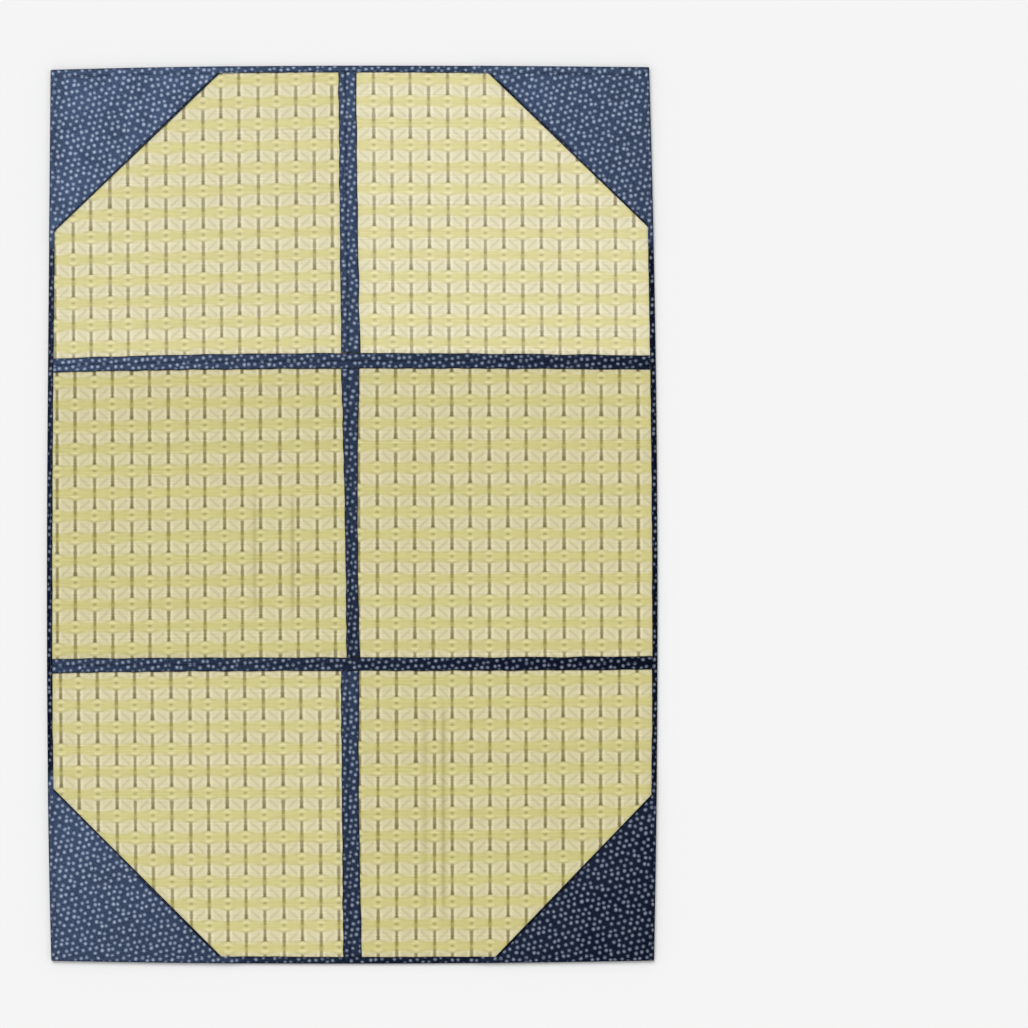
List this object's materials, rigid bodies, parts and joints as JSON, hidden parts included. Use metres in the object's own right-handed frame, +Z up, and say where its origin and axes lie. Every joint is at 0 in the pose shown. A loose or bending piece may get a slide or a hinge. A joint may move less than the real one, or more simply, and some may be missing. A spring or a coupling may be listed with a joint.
{
  "type": "tatami mat",
  "caption": "Flat rush mat of ribbed woven squares joined by dotted cotton strips, with dotted cotton corners and a narrow binding.",
  "frame": {"origin": "middle of the mat on the floor", "axes": "+Z up from the floor, +Y along the length towards the mat's head, +X to the right"},
  "size_m": [0.6107, 0.8982, 0.0053],
  "materials": {
    "woven_rush": "satin dried rush, yellow-green and cream, woven in a hemp-leaf figure",
    "strip_cotton": "matte indigo cotton with small pale dots",
    "corner_cotton": "matte indigo cotton with small pale dots",
    "binding_cotton": "matte dark indigo cotton with small pale dots"
  },
  "bodies": {
    "root": {"rush_foot_left": "woven_rush", "rush_foot_right": "woven_rush", "rush_middle_left": "woven_rush", "rush_middle_right": "woven_rush", "rush_head_left": "woven_rush", "rush_head_right": "woven_rush", "centre_strip_foot": "strip_cotton", "centre_strip_middle": "strip_cotton", "centre_strip_head": "strip_cotton", "cross_strip_foot": "strip_cotton", "cross_strip_head": "strip_cotton", "corner_foot_left": "corner_cotton", "corner_foot_right": "corner_cotton", "corner_head_left": "corner_cotton", "corner_head_right": "corner_cotton", "binding_left": "binding_cotton", "binding_right": "binding_cotton", "binding_foot": "binding_cotton", "binding_head": "binding_cotton"}
  },
  "joints": []
}
